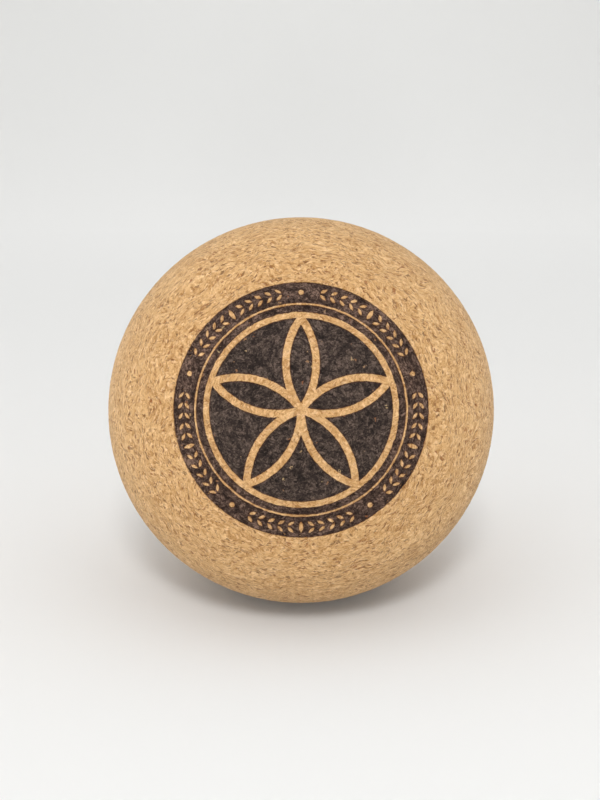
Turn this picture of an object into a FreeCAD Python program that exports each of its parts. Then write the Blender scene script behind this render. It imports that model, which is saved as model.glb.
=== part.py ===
import FreeCAD, Part
import math
import os

# A cork massage ball with a laser-burnt round mark. Lengths are in millimetres and angles in degrees.
# The ball rests on the floor at the origin, +Z is up, and the mark looks towards -Y and a little upwards.

BALL_RADIUS = 50.0
MARK_TILT = 14.4  # how far the mark's axis points above the horizontal

# Cork gives a little under the ball's own weight, so the resting ball meets the floor on a small round patch.
FOOT_RADIUS = 2.5

# The mark: the laser eats its dark areas into the cork and leaves a thin layer of char on their floor.
ENGRAVING_DEPTH = 0.35
CHAR_THICKNESS = 0.15

# Radii of the mark's rings, seen along the mark's axis.
OUTER_RADIUS = 29.4
HAIRLINE_OUTER_RADIUS = 24.35
HAIRLINE_INNER_RADIUS = 23.9
LIGHT_RING_OUTER_RADIUS = 22.2
ROSETTE_RADIUS = 20.8

# The rosette in the middle: lens-shaped petals that meet at the mark's axis, outlined by light lines.
PETAL_COUNT = 5
LINE_WIDTH = 1.7

# The outer band's cut-outs: sprigs of pointed leaves, one over each field between the petals. A sprig has one
# radial leaf in its middle and slanted pairs to both sides, which point to it. A dot parts one sprig from the next.
PAIRS_PER_SIDE = 5
PAIR_STEP = 5.0
PAIR_OFFSET = 0.78  # from the band's middle radius to the middle of each leaf of a pair
PAIR_SLANT = 38.0  # between a leaf of a pair and the band's own direction
LEAF_LENGTH = 1.75
LEAF_WIDTH = 0.72
MIDDLE_LEAF_LENGTH = 2.7
MIDDLE_LEAF_WIDTH = 1.0
DOT_RADIUS = 0.6

CENTRE_HEIGHT = math.sqrt(BALL_RADIUS**2 - FOOT_RADIUS**2)
FLOOR_RADIUS = BALL_RADIUS - ENGRAVING_DEPTH
CHAR_RADIUS = FLOOR_RADIUS + CHAR_THICKNESS
BAND_MIDDLE_RADIUS = (OUTER_RADIUS + HAIRLINE_OUTER_RADIUS) / 2

# The mark is drawn flat and pushed along its axis, from under the mark's lowest edge to clear of the ball.
DRAWING_HEIGHT = 35.0
DRAWING_TRAVEL = 20.0

PETAL_STEP = 360.0 / PETAL_COUNT
PETAL_TIP_ANGLE = math.radians(PETAL_STEP / 2)  # between a petal's side and its axis, at its tips
PETAL_SIDE_RADIUS = ROSETTE_RADIUS / 2 / math.sin(PETAL_TIP_ANGLE)
PETAL_SIDE_OFFSET = PETAL_SIDE_RADIUS * math.cos(PETAL_TIP_ANGLE)

AXIS = FreeCAD.Vector(0, 0, 1)
UP_IN_MARK = 90.0  # the direction in the mark's drawing that points up on the ball


def polar(radius, angle):
    """The point of the drawing at this radius and angle from the mark's axis."""
    turn = math.radians(angle)
    return FreeCAD.Vector(radius * math.cos(turn), radius * math.sin(turn), DRAWING_HEIGHT)


def disc(radius, centre):
    """A flat disc in the drawing."""
    return Part.Face(Part.Wire(Part.makeCircle(radius, centre, AXIS)))


def leaf(centre, direction, length, width):
    """A pointed oval of the band about its centre, with its tips this way and the opposite way."""
    turn = math.radians(direction)
    along = FreeCAD.Vector(math.cos(turn), math.sin(turn), 0)
    across = AXIS.cross(along)
    start = centre - along * (length / 2)
    end = centre + along * (length / 2)
    sides = [
        Part.Arc(start, centre + across * (width / 2), end).toShape(),
        Part.Arc(end, centre - across * (width / 2), start).toShape(),
    ]
    return Part.Face(Part.Wire(sides))


def sprig(middle):
    """The leaves of one sprig, with its radial leaf at the angle middle."""
    leaves = [leaf(polar(BAND_MIDDLE_RADIUS, middle), middle, MIDDLE_LEAF_LENGTH, MIDDLE_LEAF_WIDTH)]
    for side in (-1, 1):
        for number in range(1, PAIRS_PER_SIDE + 1):
            angle = middle + side * number * PAIR_STEP
            for reach in (-1, 1):
                centre = polar(BAND_MIDDLE_RADIUS + reach * PAIR_OFFSET, angle)
                slant = angle + 90 + side * reach * PAIR_SLANT
                leaves.append(leaf(centre, slant, LEAF_LENGTH, LEAF_WIDTH))
    return leaves


def petal(angle, growth):
    """A petal from the mark's axis to the rosette's rim, moved outwards all round by growth."""
    sides = []
    for side in (-1, 1):
        centre = FreeCAD.Vector(ROSETTE_RADIUS / 2, side * PETAL_SIDE_OFFSET, DRAWING_HEIGHT)
        sides.append(disc(PETAL_SIDE_RADIUS + growth, centre))
    shape = sides[0].common(sides[1])
    shape.rotate(FreeCAD.Vector(0, 0, 0), AXIS, angle)
    return shape.Faces[0]


def petal_angle(number):
    """The direction of a petal, counted round from the one that points up."""
    return UP_IN_MARK + number * PETAL_STEP


def field_angle(number):
    """The direction of the field between a petal and the next one."""
    return petal_angle(number) + PETAL_STEP / 2


def outer_band():
    """The wide band with its sprigs and dots."""
    centre = polar(0, 0)
    band = disc(OUTER_RADIUS, centre).cut(disc(HAIRLINE_OUTER_RADIUS, centre))
    cutouts = []
    for number in range(PETAL_COUNT):
        cutouts.append(disc(DOT_RADIUS, polar(BAND_MIDDLE_RADIUS, petal_angle(number))))
        cutouts.extend(sprig(field_angle(number)))
    return band.cut(cutouts).Faces[0]


def inner_ring():
    """The narrow ring between the hairline and the light ring."""
    centre = polar(0, 0)
    ring = disc(HAIRLINE_INNER_RADIUS, centre).cut(disc(LIGHT_RING_OUTER_RADIUS, centre))
    return ring.Faces[0]


def fields():
    """The dark fields left between the outlined petals, in the order of the petals."""
    outlines = [petal(petal_angle(number), LINE_WIDTH / 2) for number in range(PETAL_COUNT)]
    left_over = disc(ROSETTE_RADIUS, polar(0, 0)).cut(outlines).Faces
    ordered = []
    for number in range(PETAL_COUNT):
        middle = polar(ROSETTE_RADIUS, field_angle(number))
        ordered.append(min(left_over, key=lambda face: face.CenterOfMass.distanceToPoint(middle)))
    return ordered


def dark_areas():
    """The drawing of each dark area of the mark, by the name of its sub-part."""
    areas = {"mark_outer_band": outer_band(), "mark_inner_ring": inner_ring()}
    for number, field in enumerate(fields()):
        areas[f"mark_petal_{number + 1}"] = petal(petal_angle(number), -LINE_WIDTH / 2)
        areas[f"mark_field_{number + 1}"] = field
    return areas


def ball(radius):
    """A ball about the mark's frame, with its seam at the back, where no mark crosses it."""
    shape = Part.makeSphere(radius)
    shape.rotate(FreeCAD.Vector(0, 0, 0), FreeCAD.Vector(0, 1, 0), 90)
    return shape


def place(shape):
    """Moves a shape from the mark's frame, which has the mark's axis as +Z, to the part's frame."""
    turn = FreeCAD.Rotation(FreeCAD.Vector(1, 0, 0), 90 - MARK_TILT)
    centre = FreeCAD.Vector(0, 0, CENTRE_HEIGHT)
    shape.Placement = FreeCAD.Placement(centre, turn).multiply(shape.Placement)
    return shape


def flattened(shape):
    """The placed ball with the patch that it rests on pressed flat, level with the floor."""
    below_floor = Part.makeCylinder(BALL_RADIUS, BALL_RADIUS, FreeCAD.Vector(0, 0, -BALL_RADIUS))
    return shape.cut(below_floor)


def build():
    """Every sub-part in its place, by name."""
    columns = {}
    for name, area in dark_areas().items():
        columns[name] = area.extrude(AXIS * DRAWING_TRAVEL)

    char_layer = ball(CHAR_RADIUS).cut(ball(FLOOR_RADIUS))
    parts = {}
    for name, column in columns.items():
        parts[name] = place(column.common(char_layer).Solids[0])

    recesses = [column.cut(ball(FLOOR_RADIUS)) for column in columns.values()]
    parts["cork_ball"] = flattened(place(ball(BALL_RADIUS).cut(recesses))).Solids[0]
    return parts


os.makedirs("parts", exist_ok=True)
for name, shape in build().items():
    shape.exportStep(f"parts/{name}.step")
    print(name, "volume", round(shape.Volume, 2), "valid", shape.isValid())
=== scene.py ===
import math
from collections import Counter

import bmesh
import bpy
import numpy as np
from mathutils import Matrix, Vector, kdtree, noise
from mathutils.geometry import delaunay_2d_cdt


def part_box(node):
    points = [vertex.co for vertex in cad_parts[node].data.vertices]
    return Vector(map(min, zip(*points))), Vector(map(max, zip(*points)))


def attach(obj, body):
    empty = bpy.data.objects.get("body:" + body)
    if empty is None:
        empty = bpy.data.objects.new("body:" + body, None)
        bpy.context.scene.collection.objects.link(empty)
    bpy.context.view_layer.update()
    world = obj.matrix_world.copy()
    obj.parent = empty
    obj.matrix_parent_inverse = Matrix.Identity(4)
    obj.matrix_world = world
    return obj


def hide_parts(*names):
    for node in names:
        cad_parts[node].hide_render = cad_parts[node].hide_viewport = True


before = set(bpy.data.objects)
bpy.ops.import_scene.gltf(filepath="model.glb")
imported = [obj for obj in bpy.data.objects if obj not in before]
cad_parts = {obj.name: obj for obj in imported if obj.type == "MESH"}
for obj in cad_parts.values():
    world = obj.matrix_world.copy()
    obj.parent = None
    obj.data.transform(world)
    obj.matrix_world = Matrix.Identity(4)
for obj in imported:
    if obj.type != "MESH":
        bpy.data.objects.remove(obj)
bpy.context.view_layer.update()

# A massage ball of fine agglomerated cork with a laser-burnt mark. Lengths are in metres and angles in radians.
MM = 0.001
SEED = 7
noise.seed_set(SEED)  # without this, mathutils seeds its noise from the clock

# The mark's frame has its origin at the ball's centre and its +Z along the mark's axis.
MARK_TILT = math.radians(14.4)
BALL_RADIUS = (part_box("cork_ball")[1].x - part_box("cork_ball")[0].x) / 2
FOOT_RADIUS = 2.5 * MM  # of the patch that the ball's weight presses flat
CENTRE = Vector((0, 0, math.sqrt(BALL_RADIUS**2 - FOOT_RADIUS**2)))
MARK_TURN = math.pi / 2 - MARK_TILT
TO_PART = Matrix.Translation(CENTRE) @ Matrix.Rotation(MARK_TURN, 4, "X")
TO_MARK = TO_PART.inverted()

# The mesh is finer in the mark than on the rest of the ball, and coarse on the floors that the char hides.
MARK_SPACING = 0.28 * MM
BALL_SPACING = 0.67 * MM
HIDDEN_SPACING = 2 * MM
SPACING_BLEND = 2.5 * MM
SPREAD_STEPS = 6000  # of the sum that spreads the mesh's points
JITTER = 0.11  # how far a point of the mesh is moved at random, as a share of the spacing
MARK_MARGIN = 1.1  # the mesh still follows the mark's edges out to this many times the mark's radius
WELD = 0.001 * MM
CROSSING = 1e-9  # the distance at which two sides of the flattened mesh count as touching

# The burnt edges waver a little where the laser met harder and softer granules: sizes and depths of the waves.
WAVES = ((1.6 * MM, 0.07 * MM), (0.42 * MM, 0.09 * MM))

# The grain, in mm where it is a length. The granules were pressed flat along the mark's axis when the block was
# made, and they are warped a little and swirled slowly, so that they don't lie in level rows.
GRANULE_SIZE = 1.5
CHUNK_SIZE = GRANULE_SIZE / 2.4
FLATTENING = 2.5
LUMP_FLATTENING = FLATTENING * 1.3
WARP = (2.4, 2.4, 1.6)
SWIRL = (6.0, 6.0, 9.0)
RELIEF_MIDDLE = 0.07  # the height of the grain that lies at the ball's radius

# Lumps in the grain: the size of their cells in mm, the share of cells that hold one, and how large they get.
FLECKS = {"cell": 1.45, "share": 0.75, "largest": 0.52}
SPECKS = {"cell": 0.8, "share": 0.60, "largest": 0.50}
CHIPS = {"cell": 1.2, "share": 0.75, "largest": 0.50}
ASH_BITS = {"cell": 0.55, "share": 0.35, "largest": 0.42}
MISSED_BITS = {"cell": 0.9, "share": 0.05, "largest": 0.45}

DIFFUSE_ROUGHNESS = 0.9  # cork, char and paper scatter light like a powder

MARK_NODES = sorted(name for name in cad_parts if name.startswith("mark_"))
BAND_NODES = ("mark_outer_band", "mark_inner_ring")  # burnt a little lighter than the rosette


# ---- The mark's outlines, from the CAD solids ----


def in_mark_frame(node):
    """A CAD node's mesh, welded and moved to the mark's frame."""
    bm = bmesh.new()
    bm.from_mesh(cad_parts[node].data)
    bmesh.ops.remove_doubles(bm, verts=bm.verts, dist=WELD)
    bm.transform(TO_MARK)
    return bm


def char_radii():
    """The distances from the ball's centre to the underside and the top of the char."""
    bm = in_mark_frame(MARK_NODES[0])
    distances = [v.co.length for v in bm.verts]
    bm.free()
    return min(distances), max(distances)


FLOOR_RADIUS, CHAR_RADIUS = char_radii()


def outlines(node):
    """The outlines of a burnt area, each a closed loop of points as the mark is seen along its axis."""
    bm = in_mark_frame(node)
    halfway = (FLOOR_RADIUS + CHAR_RADIUS) / 2
    top = {f for f in bm.faces if all(v.co.length > halfway for v in f.verts)}
    left = dict.fromkeys(e for e in bm.edges if sum(f in top for f in e.link_faces) == 1)
    loops = []
    while left:
        edge = next(iter(left))
        del left[edge]
        first, last = edge.verts
        loop = [first]
        while last != first:
            loop.append(last)
            edge = next(e for e in last.link_edges if e in left)
            del left[edge]
            last = edge.other_vert(last)
        loops.append(anticlockwise(np.array([v.co.xy for v in loop])))
    bm.free()
    return loops


def anticlockwise(loop):
    """The loop, turned round if it runs clockwise."""
    after = np.roll(loop, -1, axis=0)
    area = (loop[:, 0] * after[:, 1] - after[:, 0] * loop[:, 1]).sum()
    return loop if area > 0 else loop[::-1]


def evenly(loop, spacing):
    """The loop with points added along its longer sides."""
    points = []
    for start, end in zip(loop, np.roll(loop, -1, axis=0), strict=True):
        steps = max(1, round(float(np.linalg.norm(end - start)) / spacing))
        for step in range(steps):
            points.append(start + (end - start) * step / steps)
    return np.array(points)


# ---- Points and triangles over the ball ----


def spread(spacing_at, reach):
    """Points spread evenly round the mark's axis, out to the angle reach, as their polar angle and turn."""
    angles = np.linspace(0, reach, SPREAD_STEPS)
    ring_area = 2 * math.pi * BALL_RADIUS**2 * np.sin(angles)
    point_area = math.sqrt(3) / 2 * spacing_at(angles) ** 2
    density = ring_area / point_area
    total = np.concatenate([[0], np.cumsum((density[1:] + density[:-1]) / 2 * np.diff(angles))])
    order = np.arange(int(total[-1]))
    golden_angle = math.pi * (3 - math.sqrt(5))
    return np.interp(order + 0.5, total, angles), order * golden_angle


def ball_spacing(angles):
    """The mesh's spacing by the angle from the mark's axis."""
    edge = math.asin(MARK_REACH / BALL_RADIUS)
    blend = np.clip((angles - edge) * BALL_RADIUS / SPACING_BLEND, 0, 1)
    return MARK_SPACING + (BALL_SPACING - MARK_SPACING) * blend


def hidden_spacing(angles):
    """The spacing of the recess floors' mesh."""
    return np.full_like(angles, HIDDEN_SPACING)


def directions(polar, turn):
    """Unit vectors from the ball's centre."""
    return np.stack([np.sin(polar) * np.cos(turn), np.sin(polar) * np.sin(turn), np.cos(polar)], 1)


def jittered(units, spacing):
    """The directions with each moved a little at random, so that the mesh has no rows."""
    rng = np.random.default_rng(SEED)
    moved = units + rng.normal(0, JITTER, units.shape) * (spacing / BALL_RADIUS)[:, None]
    return moved / np.linalg.norm(moved, axis=1)[:, None]


def search_tree(units):
    """A tree that finds the nearest of the directions."""
    tree = kdtree.KDTree(len(units))
    for index, unit in enumerate(units):
        tree.insert(unit, index)
    tree.balance()
    return tree


def clear_of(units, edge_units, spacing):
    """Only the directions that lie more than half a spacing from every outline point."""
    tree = search_tree(edge_units)
    near_mark = math.cos(math.asin(MARK_REACH / BALL_RADIUS) * MARK_MARGIN)
    keep = np.ones(len(units), bool)
    for index in np.flatnonzero(units[:, 2] > near_mark):
        keep[index] = tree.find(units[index])[2] * BALL_RADIUS > spacing[index] / 2
    return units[keep]


def on_ball(loop):
    """The directions of an outline's points on the ball's surface."""
    flat = loop / BALL_RADIUS
    return np.column_stack([flat, np.sqrt(1 - (flat**2).sum(1))])


def triangulate(units, loops):
    """Triangles over the directions, which keep every loop's sides, and the mark node that owns each."""
    flat = [Vector(point) for point in units[:, :2] / (1 + units[:, 2])[:, None]]
    made = delaunay_2d_cdt(flat, [], [loop for _, loop in loops], 0, CROSSING)
    _, _, triangles, point_origins, _, face_origins = made
    origin = np.array([found[0] for found in point_origins])
    faces = origin[np.array(triangles)]
    owners = np.full(len(faces), -1)
    for index, around in enumerate(face_origins):
        odd = [node for node, times in Counter(loops[loop][0] for loop in around).items() if times % 2]
        if odd:
            owners[index] = odd[0]
    return faces, owners


def rim_sides(faces):
    """The directed sides of a patch of triangles that no other triangle of the patch shares."""
    sides = np.concatenate([faces[:, [0, 1]], faces[:, [1, 2]], faces[:, [2, 0]]])
    span = int(sides.max()) + 1
    code = sides[:, 0] * span + sides[:, 1]
    back = sides[:, 1] * span + sides[:, 0]
    return sides[~np.isin(code, back)]


LOOPS = [
    (number, evenly(loop, MARK_SPACING))
    for number, node in enumerate(MARK_NODES)
    for loop in outlines(node)
]
EDGE = np.concatenate([loop for _, loop in LOOPS])
EDGE_UNITS = on_ball(EDGE)
MARK_REACH = float(np.linalg.norm(EDGE, axis=1).max())


def numbered_loops():
    """Each outline as its owner and the numbers of its points in EDGE."""
    start = 0
    numbered = []
    for owner, loop in LOOPS:
        numbered.append((owner, list(range(start, start + len(loop)))))
        start += len(loop)
    return numbered


def surface():
    """The whole ball's directions, triangles and owners, fine in the mark."""
    polar, turn = spread(ball_spacing, math.pi)
    spacing = ball_spacing(polar)
    units = clear_of(jittered(directions(polar, turn), spacing), EDGE_UNITS, spacing)
    units = np.concatenate([EDGE_UNITS, units])
    faces, owners = triangulate(units, numbered_loops())
    back_pole = len(units)
    units = np.concatenate([units, [[0, 0, -1]]])
    fan = [[end, start, back_pole] for start, end in rim_sides(faces)]
    return units, np.concatenate([faces, fan]), np.concatenate([owners, np.full(len(fan), -1)])


def hidden_floor():
    """The same outlines filled with a coarse mesh."""
    polar, turn = spread(hidden_spacing, math.asin(MARK_REACH / BALL_RADIUS))
    units = clear_of(directions(polar, turn), EDGE_UNITS, hidden_spacing(polar))
    units = np.concatenate([EDGE_UNITS, units])
    faces, owners = triangulate(units, numbered_loops())
    return units, faces, owners


def wavering(units):
    """The directions with the mark's edges wavering a little, fading out past the mark."""
    moved = units.copy()
    reach = MARK_REACH / BALL_RADIUS
    end = reach * MARK_MARGIN
    radius = np.linalg.norm(units[:, :2], axis=1)
    for index in np.flatnonzero((units[:, 2] > 0) & (radius < end)):
        fade = min(1, (end - radius[index]) / (end - reach))
        for size, depth in WAVES:
            shift = noise.noise_vector(Vector(units[index]) * BALL_RADIUS / size)
            moved[index, :2] += np.array(shift.xy) * fade * depth / BALL_RADIUS
        moved[index, 2] = math.sqrt(1 - (moved[index, :2] ** 2).sum())
    return moved


def at_radius(units, radius):
    """Points above the same spot of the mark as the directions, but on a ball of another radius."""
    points = units * BALL_RADIUS
    points[:, 2] = np.sqrt(radius**2 - (points[:, :2] ** 2).sum(1))
    return points


def edge_distance(units):
    """How far each direction's point on the ball is from the nearest burnt edge."""
    tree = search_tree(EDGE_UNITS)
    return np.array([tree.find(unit)[2] for unit in units]) * BALL_RADIUS


# ---- Pieces ----


def new_piece(name, shape, node, material):
    """A piece that stands for a CAD node. Its shape is its points in the mark's frame, its triangles, and for
    each point its share of the relief and its distance from the nearest burnt edge."""
    points, faces, relief, edge = shape
    used, compact = np.unique(faces, return_inverse=True)
    mesh = bpy.data.meshes.new(name)
    mesh.from_pydata(points[used].tolist(), [], compact.reshape(faces.shape).tolist())
    mesh.transform(TO_PART)
    for label, values in (("relief", relief), ("edge", edge)):
        attribute = mesh.attributes.new(label, "FLOAT", "POINT")
        attribute.data.foreach_set("value", values[used].astype(np.float32))
    mesh.polygons.foreach_set("use_smooth", np.ones(len(mesh.polygons), bool))
    mesh.update()
    piece = bpy.data.objects.new(name, mesh)
    bpy.context.scene.collection.objects.link(piece)
    piece.data.materials.append(material)
    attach(piece, "root")
    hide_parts(node)
    return piece


def side_faces(sides, upper, lower):
    """Two triangles for each side, from the point numbers of its upper edge to those of its lower edge."""
    a, b = sides[:, 0], sides[:, 1]
    first = np.stack([a + upper, b + upper, b + lower], 1)
    second = np.stack([a + upper, b + lower, a + lower], 1)
    return np.concatenate([first, second])


def build_ball(fine, coarse, material):
    """The cork: its outer surface, the walls of the recesses and their hidden floors."""
    units, faces, owners = fine
    floor_units, floor_faces, floor_owners = coarse
    shift = len(units)
    points = np.concatenate([units * BALL_RADIUS, at_radius(floor_units, FLOOR_RADIUS)])
    patches = [faces[owners < 0], floor_faces[floor_owners >= 0] + shift]
    for number in range(len(MARK_NODES)):
        patches.append(side_faces(rim_sides(faces[owners == number]), 0, shift))
    relief = np.concatenate([np.ones(shift), np.zeros(len(floor_units))])
    edge = np.concatenate([edge_distance(units), np.zeros(len(floor_units))])
    shape = (points, np.concatenate(patches), relief, edge)
    return new_piece("cork_ball_granules", shape, "cork_ball", material)


def build_char(number, fine, coarse, material):
    """One burnt area: its charred top, its thin sides and its underside."""
    units, faces, owners = fine
    floor_units, floor_faces, floor_owners = coarse
    dark = faces[owners == number]
    shift = int(dark.max()) + 1
    points = np.concatenate([at_radius(units[:shift], CHAR_RADIUS), at_radius(floor_units, FLOOR_RADIUS)])
    underside = floor_faces[floor_owners == number][:, ::-1] + shift
    sides = side_faces(rim_sides(dark)[:, ::-1], 0, shift)
    relief = np.concatenate([np.ones(shift), np.zeros(len(floor_units))])
    edge = np.concatenate([edge_distance(units[:shift]), np.zeros(len(floor_units))])
    node = MARK_NODES[number]
    shape = (points, np.concatenate([dark, sides, underside]), relief, edge)
    return new_piece(node + "_char", shape, node, material)


# ---- Node trees ----


def linear(red, green, blue):
    """A display colour, each part out of 255, as the linear colour that shaders take."""
    parts = []
    for part in (red, green, blue):
        share = part / 255
        parts.append(share / 12.92 if share <= 0.04045 else ((share + 0.055) / 1.055) ** 2.4)
    return (*parts, 1)


HALF = (0.5, 0.5, 0.5)  # the middle of a noise texture's colour
# The colour sockets of a mix node, by number, because its other sockets have the same names.
MIX_FIRST, MIX_SECOND, MIX_RESULT = 6, 7, 2


class Graph:
    """Adds nodes to a shader or geometry tree. An input may be a number, a tuple or another node's socket."""

    def __init__(self, tree):
        self.tree = tree

    def add(self, kind, inputs, **settings):
        node = self.tree.nodes.new(kind)
        for name, value in settings.items():
            setattr(node, name, value)
        for name, value in inputs.items():
            if isinstance(value, bpy.types.NodeSocket):
                self.tree.links.new(value, node.inputs[name])
            else:
                node.inputs[name].default_value = value
        return node

    def math(self, operation, *values):
        return self.add("ShaderNodeMath", dict(enumerate(values)), operation=operation).outputs[0]

    def vector(self, operation, *values):
        return self.add("ShaderNodeVectorMath", dict(enumerate(values)), operation=operation).outputs[0]

    def scaled(self, vector, factor):
        """The vector times a number."""
        return self.add("ShaderNodeVectorMath", {0: vector, "Scale": factor}, operation="SCALE").outputs[0]

    def noise(self, vector, scale, detail=2.0, roughness=0.5):
        inputs = {"Vector": vector, "Scale": scale, "Detail": detail, "Roughness": roughness}
        return self.add("ShaderNodeTexNoise", inputs, noise_dimensions="3D")

    def voronoi(self, vector, scale, feature="F1"):
        inputs = {"Vector": vector, "Scale": scale}
        return self.add("ShaderNodeTexVoronoi", inputs, voronoi_dimensions="3D", feature=feature)

    def weighted(self, start, *terms):
        """The number start plus each term's value times its weight."""
        total = start
        for value, weight in terms:
            total = self.math("MULTIPLY_ADD", value, weight, total)
        return total

    def part(self, vector, axis):
        """One of a vector's or colour's three numbers."""
        return self.add("ShaderNodeSeparateXYZ", {0: vector}).outputs[axis]

    def ramp(self, value, low, high, start=0.0, end=1.0):
        """Goes smoothly from start to end while value goes from low to high."""
        inputs = {"Value": value, "From Min": low, "From Max": high, "To Min": start, "To Max": end}
        return self.add("ShaderNodeMapRange", inputs, interpolation_type="SMOOTHSTEP").outputs[0]


def lumps(graph, position, cell, share, largest):
    """Scattered ragged lumps, in this share of cells of this size in mm: how deep inside one, and its tint."""
    cells = graph.voronoi(position, 1 / cell)
    size = graph.ramp(graph.part(cells.outputs["Color"], 1), 1 - share, 1.0, 0.0, largest)
    ragged = graph.noise(position, 2.6 / cell, 2.0, 0.6).outputs[0]
    reach = graph.math("MULTIPLY_ADD", ragged, 0.5, graph.math("ADD", cells.outputs["Distance"], -0.25))
    inside = graph.ramp(graph.math("SUBTRACT", size, reach), 0.0, 0.10)
    return inside, graph.part(cells.outputs["Color"], 2)


def grain(graph, position):
    """The cork's grain at a position in metres: its tone, flecks, chips, seams and its height in mm. Layers with
    cells are moved apart, so that no two of them have their cells in the same places."""
    from_centre = graph.vector("SUBTRACT", position, tuple(CENTRE))
    rotate = {"Vector": from_centre, "Angle": -MARK_TURN}
    turned = graph.add("ShaderNodeVectorRotate", rotate, rotation_type="X_AXIS").outputs[0]
    millimetres = graph.scaled(turned, 1 / MM)
    warp = graph.vector("SUBTRACT", graph.noise(millimetres, 0.55, 3.0).outputs["Color"], HALF)
    swirl = graph.vector("SUBTRACT", graph.noise(millimetres, 0.09, 1.0).outputs["Color"], HALF)
    bent = graph.vector("ADD", millimetres, graph.vector("MULTIPLY", warp, WARP))
    bent = graph.vector("ADD", bent, graph.vector("MULTIPLY", swirl, SWIRL))
    flat = graph.vector("MULTIPLY", bent, (1.0, 1.0, FLATTENING))
    thin = graph.vector("MULTIPLY", bent, (1.0, 1.0, LUMP_FLATTENING))

    granules = graph.voronoi(flat, 1 / GRANULE_SIZE)
    granule_tone = graph.part(granules.outputs["Color"], 0)
    chunks = graph.voronoi(graph.vector("ADD", flat, (31.0, 17.0, 5.0)), 1 / CHUNK_SIZE)
    chunk_tone = graph.part(chunks.outputs["Color"], 0)
    fibres = graph.noise(flat, 2.0, 3.0, 0.62).outputs[0]
    broad = graph.noise(millimetres, 0.11, 1.0).outputs[0]
    tone = graph.weighted(-0.375, (granule_tone, 0.31), (chunk_tone, 0.45), (fibres, 0.84), (broad, 0.13))

    # Flecks and specks are fewer where the pressed granules show their broad sides, at the mark and at the back.
    facing = graph.math("ABSOLUTE", graph.part(graph.scaled(turned, 1 / BALL_RADIUS), 2))
    fewer = graph.ramp(facing, 0.76, 0.94, 1.0, 0.45)
    flecks, fleck_tint = lumps(graph, graph.vector("ADD", thin, (7.0, 3.0, 11.0)), **FLECKS)
    flecks = graph.math("MULTIPLY", flecks, fewer)
    specks, _ = lumps(graph, graph.vector("ADD", thin, (43.0, 29.0, 2.0)), **SPECKS)
    specks = graph.math("MULTIPLY", specks, fewer)
    chips, _ = lumps(graph, graph.vector("ADD", thin, (2.0, 19.0, 23.0)), **CHIPS)
    seams = graph.voronoi(flat, 1 / GRANULE_SIZE, "DISTANCE_TO_EDGE").outputs["Distance"]
    seam = graph.ramp(seams, 0.0, 0.09, 1.0, 0.0)

    raised = ((granule_tone, 0.07), (fibres, 0.10))
    sunk = ((seam, -0.04), (specks, -0.07), (flecks, -0.16))
    height = graph.weighted(0.0, *raised, *sunk)
    return {
        "tone": tone,
        "flecks": flecks,
        "fleck_tint": fleck_tint,
        "specks": specks,
        "chips": chips,
        "seam": seam,
        "fibres": fibres,
        "millimetres": millimetres,
        "height": height,
    }


def relief_tree():
    """A geometry tree that moves each point outwards by the grain's height, but none below the floor."""
    tree = bpy.data.node_groups.new("cork_relief", "GeometryNodeTree")
    tree.interface.new_socket("Geometry", in_out="INPUT", socket_type="NodeSocketGeometry")
    tree.interface.new_socket("Geometry", in_out="OUTPUT", socket_type="NodeSocketGeometry")
    graph = Graph(tree)
    entry = graph.add("NodeGroupInput", {}).outputs[0]
    position = graph.add("GeometryNodeInputPosition", {}).outputs[0]
    height = graph.math("SUBTRACT", grain(graph, position)["height"], RELIEF_MIDDLE)
    share = graph.add("GeometryNodeInputNamedAttribute", {"Name": "relief"}, data_type="FLOAT").outputs[0]
    outwards = graph.vector("NORMALIZE", graph.vector("SUBTRACT", position, tuple(CENTRE)))
    offset = graph.scaled(outwards, graph.math("MULTIPLY", graph.math("MULTIPLY", height, share), MM))
    above_floor = graph.vector("MAXIMUM", graph.vector("ADD", position, offset), (-1.0, -1.0, 0.0))
    moved = graph.add("GeometryNodeSetPosition", {"Geometry": entry, "Position": above_floor}).outputs[0]
    graph.add("NodeGroupOutput", {"Geometry": moved})
    return tree


def colour_ramp(graph, value, stops):
    """A colour ramp over value, from pairs of a place and a display colour."""
    node = graph.add("ShaderNodeValToRGB", {"Fac": value})
    elements = node.color_ramp.elements
    while len(elements) < len(stops):
        elements.new(1.0)
    for element, (place, colour) in zip(elements, stops, strict=True):
        element.position = place
        element.color = linear(*colour)
    return node.outputs[0]


def mixed(graph, share, first, second):
    """first where share is 0 and second where it is 1."""
    node = graph.add("ShaderNodeMix", {"Factor": share}, data_type="RGBA")
    for number, value in ((MIX_FIRST, first), (MIX_SECOND, second)):
        socket = node.inputs[number]
        if isinstance(value, bpy.types.NodeSocket):
            graph.tree.links.new(value, socket)
        else:
            socket.default_value = value
    return node.outputs[MIX_RESULT]


def stained(graph, colour, mask, strength, stain):
    """The colour, stained where the mask is 1."""
    return mixed(graph, graph.math("MULTIPLY", mask, strength), colour, stain)


def new_material(name):
    """A material with an empty graph and its shader."""
    material = bpy.data.materials.new(name)
    material.use_nodes = True
    material.node_tree.nodes.clear()
    graph = Graph(material.node_tree)
    shader = graph.add("ShaderNodeBsdfPrincipled", {})
    graph.add("ShaderNodeOutputMaterial", {"Surface": shader.outputs[0]})
    return material, graph, shader


def finish_material(graph, shader, colour, roughness, height, specular, sheen):
    """Links a material's colour, roughness and bump, and sets how much it shines."""
    bump = graph.add("ShaderNodeBump", {"Height": height, "Distance": MM, "Strength": 0.8}).outputs[0]
    for name, socket in (("Base Color", colour), ("Roughness", roughness), ("Normal", bump)):
        graph.tree.links.new(socket, shader.inputs[name])
    shader.inputs["Specular IOR Level"].default_value = specular
    shader.inputs["Diffuse Roughness"].default_value = DIFFUSE_ROUGHNESS
    shader.inputs["Sheen Weight"].default_value = sheen
    shader.inputs["Sheen Roughness"].default_value = 0.4


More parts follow.
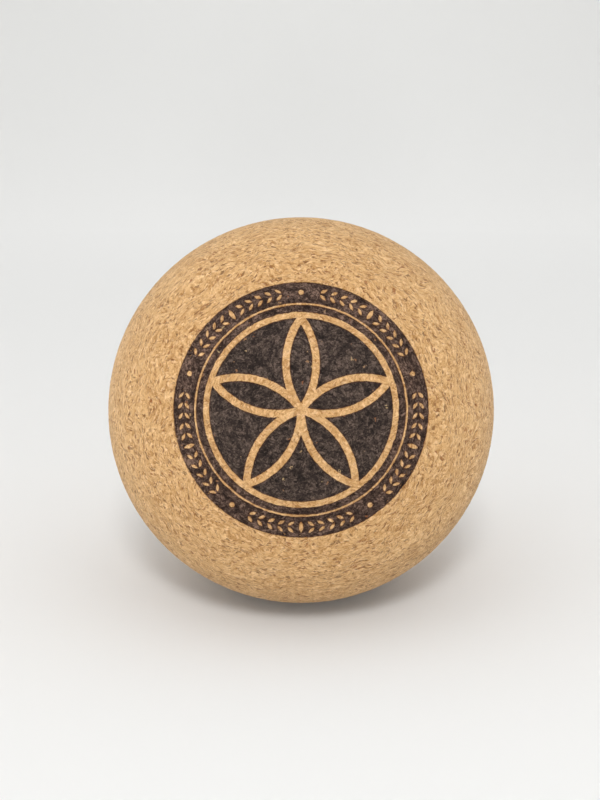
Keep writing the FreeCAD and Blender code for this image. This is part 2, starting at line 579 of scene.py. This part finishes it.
def fringe(graph, facts, width, strength):
    """How strongly the burn's heat shows, fading unevenly over this width in mm from a burnt edge."""
    edge = graph.add("ShaderNodeAttribute", {}, attribute_name="edge").outputs["Fac"]
    uneven = graph.math("MULTIPLY_ADD", facts["fibres"], -width * MM, graph.math("ADD", edge, width / 2 * MM))
    return graph.ramp(uneven, 0.0, width * MM, strength, 0.0)


CORK_STOPS = [
    (0.12, (169, 123, 72)),
    (0.28, (195, 151, 97)),
    (0.42, (208, 166, 113)),
    (0.55, (216, 176, 123)),
    (0.70, (225, 187, 135)),
    (0.90, (238, 204, 153)),
]
PALE_CHIP = linear(246, 215, 172)
SEAM_BROWN = linear(146, 98, 44)
SPECK_BROWN = linear(136, 86, 38)
BARK = (linear(100, 63, 28), linear(148, 84, 40))
TOASTED = linear(152, 98, 60)


def cork_material():
    """Sanded fine agglomerated cork, toasted brown where it meets the burn."""
    material, graph, shader = new_material("cork")
    position = graph.add("ShaderNodeTexCoord", {}).outputs["Object"]
    facts = grain(graph, position)
    colour = colour_ramp(graph, facts["tone"], CORK_STOPS)
    colour = stained(graph, colour, facts["chips"], 0.45, PALE_CHIP)
    colour = stained(graph, colour, facts["seam"], 0.25, SEAM_BROWN)
    colour = stained(graph, colour, facts["specks"], 0.48, SPECK_BROWN)
    colour = stained(graph, colour, facts["flecks"], 0.68, mixed(graph, facts["fleck_tint"], *BARK))
    colour = mixed(graph, fringe(graph, facts, 0.2, 0.45), colour, TOASTED)
    roughness = graph.ramp(facts["tone"], 0.2, 0.8, 0.90, 0.78)
    finish_material(graph, shader, colour, roughness, facts["height"], 0.2, 0.12)
    return material


ROSETTE_STOPS = [
    (0.10, (35, 29, 27)),
    (0.38, (55, 45, 41)),
    (0.50, (67, 56, 50)),
    (0.64, (82, 69, 62)),
    (0.88, (115, 97, 87)),
]
BAND_STOPS = [
    (0.10, (38, 27, 23)),
    (0.38, (63, 48, 41)),
    (0.50, (79, 62, 54)),
    (0.64, (100, 79, 69)),
    (0.88, (140, 113, 98)),
]
SOOT = linear(34, 27, 24)
ASH = linear(140, 120, 106)
UNBURNT = (linear(200, 174, 130), linear(150, 92, 58))
SINGED = linear(96, 60, 42)


def char_material(name, stops):
    """Cork burnt dark brown, its grain still showing, with ash and a few granules the laser missed."""
    material, graph, shader = new_material(name)
    position = graph.add("ShaderNodeTexCoord", {}).outputs["Object"]
    facts = grain(graph, position)
    clouds = graph.noise(facts["millimetres"], 0.45, 2.0, 0.6).outputs[0]
    crumbs = graph.noise(facts["millimetres"], 2.6, 2.0, 0.7).outputs[0]
    tone = graph.weighted(-0.85, (facts["tone"], 0.9), (clouds, 0.9), (crumbs, 0.9))
    colour = colour_ramp(graph, tone, stops)
    colour = stained(graph, colour, facts["flecks"], 0.5, SOOT)
    shifted = graph.vector("ADD", facts["millimetres"], (61.0, 47.0, 53.0))
    ragged = graph.vector("SUBTRACT", graph.noise(shifted, 1.3, 2.0).outputs["Color"], HALF)
    shifted = graph.vector("ADD", shifted, graph.scaled(ragged, 1.6))
    ash, _ = lumps(graph, shifted, **ASH_BITS)
    colour = stained(graph, colour, ash, 0.32, ASH)
    missed, missed_tint = lumps(graph, shifted, **MISSED_BITS)
    colour = stained(graph, colour, missed, 0.75, mixed(graph, missed_tint, *UNBURNT))
    colour = mixed(graph, fringe(graph, facts, 0.4, 0.5), colour, SINGED)
    roughness = graph.ramp(facts["tone"], 0.2, 0.8, 0.95, 0.82)
    finish_material(graph, shader, colour, roughness, facts["height"], 0.15, 0.0)
    return material


# ---- Stage, light and camera ----


FLOOR_REACH = 0.9
TURN_UP = 0.35  # the radius of the curve between the floor and the backdrop
BACKDROP_TOP = 1.1
CURVE_STEPS = 16
ROUND_STEPS = 96


def build_stage():
    """A plain pale floor that turns up smoothly into a round backdrop on all sides."""
    profile = [(0.0, 0.0), (FLOOR_REACH, 0.0)]
    for step in range(1, CURVE_STEPS + 1):
        angle = step / CURVE_STEPS * math.pi / 2
        profile.append((FLOOR_REACH + TURN_UP * math.sin(angle), TURN_UP * (1 - math.cos(angle))))
    profile.append((FLOOR_REACH + TURN_UP, BACKDROP_TOP))
    bm = bmesh.new()
    points = [bm.verts.new((x, 0, z)) for x, z in profile]
    sides = [bm.edges.new(pair) for pair in zip(points[:-1], points[1:], strict=True)]
    turn = {"cent": (0, 0, 0), "axis": (0, 0, 1), "angle": 2 * math.pi, "steps": ROUND_STEPS}
    bmesh.ops.spin(bm, geom=points + sides, **turn)
    bmesh.ops.remove_doubles(bm, verts=bm.verts, dist=WELD)
    bmesh.ops.recalc_face_normals(bm, faces=bm.faces)
    mesh = bpy.data.meshes.new("stage_floor")
    bm.to_mesh(mesh)
    bm.free()
    mesh.polygons.foreach_set("use_smooth", np.ones(len(mesh.polygons), bool))
    floor = bpy.data.objects.new("stage_floor", mesh)
    bpy.context.scene.collection.objects.link(floor)
    material, _, shader = new_material("stage_paper")
    shader.inputs["Base Color"].default_value = linear(234, 234, 233)
    shader.inputs["Roughness"].default_value = 0.9
    shader.inputs["Specular IOR Level"].default_value = 0.1
    shader.inputs["Diffuse Roughness"].default_value = DIFFUSE_ROUGHNESS
    mesh.materials.append(material)


# Each light's name, place, size, power in watts, and the place that it is turned towards.
LIGHTS = [
    ("key", (0, -0.63, 0.54), 0.14, 1.68, CENTRE),
    ("left", (-0.7, -0.3, 0.5), 0.5, 0.20, CENTRE),
    ("low", (0, -0.8, 0.05), 0.08, 1.08, CENTRE),
    ("low_left", (-0.55, -0.6, 0.05), 0.08, 0.45, CENTRE),
    ("backdrop", (0, 0.85, 0.75), 0.4, 1.0, (0, 1.25, 0.2)),
]


def area_light(name, place, size, power, aim):
    """A square light at a place, turned towards another place."""
    data = bpy.data.lights.new(name, "AREA")
    data.size = size
    data.energy = power
    light = bpy.data.objects.new(name, data)
    light.location = place
    light.visible_camera = False
    light.rotation_euler = (Vector(aim) - Vector(place)).to_track_quat("-Z", "Y").to_euler()
    bpy.context.scene.collection.objects.link(light)


def build_light():
    """Soft light from all round, a small key light in front, weak low lights and one for the backdrop."""
    world = bpy.data.worlds.new("studio")
    world.use_nodes = True
    background = world.node_tree.nodes["Background"]
    background.inputs["Color"].default_value = (1, 1, 1, 1)
    background.inputs["Strength"].default_value = 1.0
    bpy.context.scene.world = world
    for light in LIGHTS:
        area_light(*light)
    bpy.context.scene.view_settings.view_transform = "Standard"


CAMERA_LENS = 56.25
SENSOR_WIDTH = 36.0
CAMERA_DISTANCE = 6.563  # in ball radii
CAMERA_LIFT = math.radians(14.4)
LOOK_ABOVE = math.radians(0.45)
LOOK_LEFT = math.radians(0.05)


def build_camera():
    """The camera in front of the mark, looking a little above the ball's centre."""
    data = bpy.data.cameras.new("camera")
    data.lens = CAMERA_LENS
    data.sensor_width = SENSOR_WIDTH
    camera = bpy.data.objects.new("camera", data)
    back = Vector((0, -math.cos(CAMERA_LIFT), math.sin(CAMERA_LIFT)))
    camera.location = CENTRE + back * CAMERA_DISTANCE * BALL_RADIUS
    camera.rotation_euler = (math.pi / 2 - CAMERA_LIFT + LOOK_ABOVE, 0, LOOK_LEFT)
    bpy.context.scene.collection.objects.link(camera)
    bpy.context.scene.camera = camera


def add_relief(piece, tree):
    """Gives a piece the grain's relief."""
    modifier = piece.modifiers.new("relief", "NODES")
    modifier.node_group = tree


def build():
    """The whole scene."""
    fine_units, fine_faces, fine_owners = surface()
    coarse_units, coarse_faces, coarse_owners = hidden_floor()
    fine = (wavering(fine_units), fine_faces, fine_owners)
    coarse = (wavering(coarse_units), coarse_faces, coarse_owners)
    tree = relief_tree()
    add_relief(build_ball(fine, coarse, cork_material()), tree)
    rosette = char_material("charred_cork", ROSETTE_STOPS)
    band = char_material("charred_cork_band", BAND_STOPS)
    for number, node in enumerate(MARK_NODES):
        burnt = band if node in BAND_NODES else rosette
        add_relief(build_char(number, fine, coarse, burnt), tree)
    build_stage()
    build_light()
    build_camera()


build()
